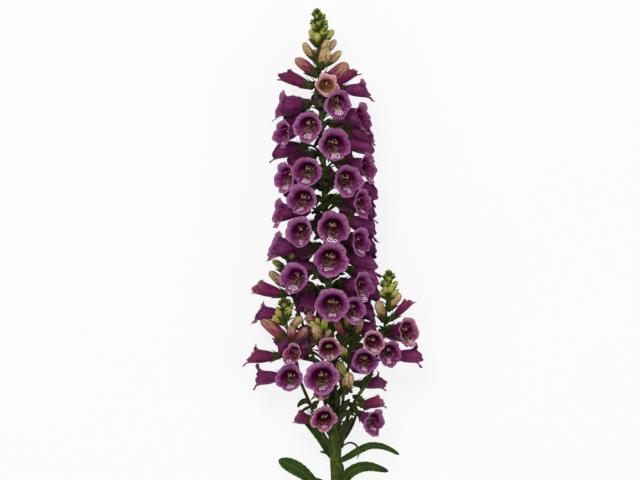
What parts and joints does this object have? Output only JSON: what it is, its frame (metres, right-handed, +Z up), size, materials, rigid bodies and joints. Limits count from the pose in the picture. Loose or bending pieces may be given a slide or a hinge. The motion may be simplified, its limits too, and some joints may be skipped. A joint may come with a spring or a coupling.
{
  "type": "foxglove flower spike",
  "caption": "Cut foxglove stem lying down, its spike packed with purple spotted bell flowers, with budding side shoots, a budding tip and pointed leaves.",
  "frame": {"origin": "on the surface the spike lies on, under the middle of its length and width", "axes": "+Y from the cut end to the tip along the main stem, +Z up from the surface through the front row of bells, +X to the right"},
  "size_m": [0.1928, 0.6009, 0.0911],
  "materials": {
    "stem": "green, softly hairy plant stem",
    "leaf": "soft matte green leaf with sunken veins",
    "petal": "satin magenta-purple petal, paler at the edge, with ringed dark spots in the throat"
  },
  "bodies": {
    "root": {"main_stem": "stem", "shoot_left": "stem", "shoot_left_back": "stem", "shoot_right": "stem", "leaf_lower_left": "leaf", "leaf_lower_right": "leaf", "leaf_upper_right": "leaf", "leaf_upper_left": "leaf", "corolla_main_01": "petal", "corolla_main_02": "petal", "corolla_main_03": "petal", "corolla_main_04": "petal", "corolla_main_05": "petal", "corolla_main_06": "petal", "corolla_main_07": "petal", "corolla_main_08": "petal", "corolla_main_09": "petal", "corolla_main_10": "petal", "corolla_main_11": "petal", "corolla_main_12": "petal", "corolla_main_13": "petal", "corolla_main_14": "petal", "corolla_main_15": "petal", "corolla_main_16": "petal", "corolla_main_17": "petal", "corolla_main_18": "petal", "corolla_main_19": "petal", "corolla_main_20": "petal", "corolla_main_21": "petal", "corolla_main_22": "petal", "corolla_main_23": "petal", "corolla_main_24": "petal", "corolla_main_25": "petal", "corolla_main_26": "petal", "corolla_main_27": "petal", "corolla_main_28": "petal", "corolla_main_29": "petal", "corolla_main_30": "petal", "corolla_main_31": "petal", "corolla_main_32": "petal", "corolla_back_01": "petal", "corolla_back_02": "petal", "corolla_back_03": "petal", "corolla_back_04": "petal", "corolla_back_05": "petal", "corolla_back_06": "petal", "corolla_back_07": "petal", "corolla_front_01": "petal", "corolla_front_02": "petal", "corolla_left_01": "petal", "corolla_left_02": "petal", "corolla_left_03": "petal", "corolla_left_04": "petal", "corolla_left_05": "petal", "corolla_right_01": "petal", "corolla_right_02": "petal", "corolla_right_03": "petal", "corolla_right_04": "petal", "corolla_right_05": "petal", "corolla_right_06": "petal"}
  },
  "joints": []
}
